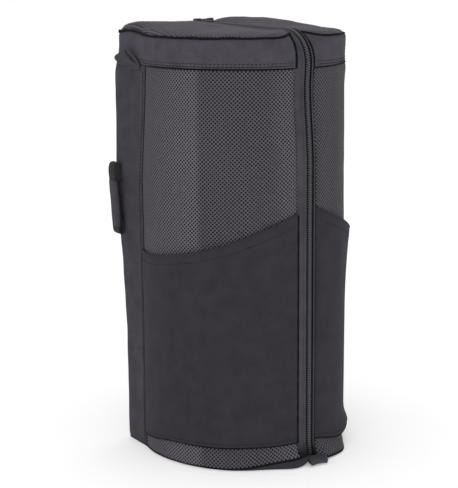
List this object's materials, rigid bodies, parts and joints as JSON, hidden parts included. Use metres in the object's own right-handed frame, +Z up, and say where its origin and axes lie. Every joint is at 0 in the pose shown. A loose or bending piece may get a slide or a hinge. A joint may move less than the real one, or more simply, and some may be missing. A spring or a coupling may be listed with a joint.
{
  "type": "telescope carry case",
  "caption": "Upright padded telescope case with a round front and flat back; two half shells open like a book on a spine, with a zip, outer pockets, a grab handle and a retaining strap.",
  "frame": {"origin": "on the ground at the centre of the round front's arc, under the standing case", "axes": "+Z up, the long way of the case; -Y is the round front with the zip, +Y the flat back; +X is on the right seen from the front"},
  "size_m": [0.2365, 0.2111, 0.4687],
  "materials": {
    "air_mesh": "matte",
    "base_fabric": "matte",
    "binding": "matte",
    "foam": "matte",
    "grip_fabric": "matte",
    "hook_tape": "matte",
    "lining": "matte",
    "loop_tape": "matte",
    "plain_fabric": "matte",
    "pocket_fabric": "matte",
    "pocket_net": "matte",
    "ribbed_mesh": "matte",
    "tab_webbing": "matte",
    "webbing": "matte",
    "zip_coil": "satin",
    "zip_metal": "satin",
    "zip_tape": "matte"
  },
  "bodies": {
    "left_half": {"left_wall_mesh": "air_mesh", "left_top_band": "plain_fabric", "left_side_strip": "plain_fabric", "left_back_panel": "plain_fabric", "left_top_panel": "ribbed_mesh", "left_base_panel": "base_fabric", "left_pocket": "pocket_fabric", "left_pocket_hem": "pocket_fabric", "left_zip_tape": "zip_tape", "left_zip_coil": "zip_coil", "left_zip_stops": "zip_metal", "left_foam_wall": "foam", "left_foam_back": "foam", "left_foam_top": "foam", "left_foam_base": "foam", "left_lining": "lining", "left_inner_binding": "binding", "left_strap_loop": "webbing", "grab_handle_webbing": "webbing", "grab_handle_grip": "grip_fabric", "zip_end_tab": "tab_webbing"},
    "right_half": {"right_wall_mesh": "air_mesh", "right_top_band": "plain_fabric", "right_side_strip": "plain_fabric", "right_back_panel": "plain_fabric", "right_top_panel": "ribbed_mesh", "right_base_panel": "base_fabric", "right_pocket": "pocket_fabric", "right_pocket_hem": "pocket_fabric", "right_zip_tape": "zip_tape", "right_zip_coil": "zip_coil", "right_zip_stops": "zip_metal", "right_foam_wall": "foam", "right_foam_back": "foam", "right_foam_top": "foam", "right_foam_base": "foam", "right_lining": "lining", "right_inner_binding": "binding", "right_strap_loop": "webbing", "inner_mesh_pocket": "pocket_net", "inner_pocket_hem": "binding"},
    "zip_slider": {"zip_slider": "zip_metal"},
    "zip_pull": {"zip_pull_eye": "zip_metal", "zip_pull_webbing": "webbing"},
    "strap_front": {"strap_front_flap": "webbing", "strap_front_hook": "hook_tape"},
    "strap_rear": {"strap_rear_flap": "webbing", "strap_rear_loop": "loop_tape"}
  },
  "joints": [
    {"name": "spine_hinge", "type": "hinge", "parent": "left_half", "child": "right_half", "pos_m": [0, 0.085, 0.228], "axis": [0, 0, 1], "range_deg": [0, 170]},
    {"name": "slider_run", "type": "slide", "parent": "left_half", "child": "zip_slider", "axis": [0, -1, 0], "range_m": [0, 0.12]},
    {"name": "pull_swing", "type": "hinge", "parent": "zip_slider", "child": "zip_pull", "pos_m": [0, 0.054, 0.4668], "axis": [1, 0, 0], "range_deg": [0, 170]},
    {"name": "strap_front_swing", "type": "hinge", "parent": "left_half", "child": "strap_front", "pos_m": [-0.00338, -0.09694, 0.228], "axis": [0, 0, -1], "range_deg": [0, 64]},
    {"name": "strap_rear_swing", "type": "hinge", "parent": "left_half", "child": "strap_rear", "pos_m": [-0.003, 0.068, 0.228], "axis": [0, 0, 1], "range_deg": [0, 90]}
  ]
}
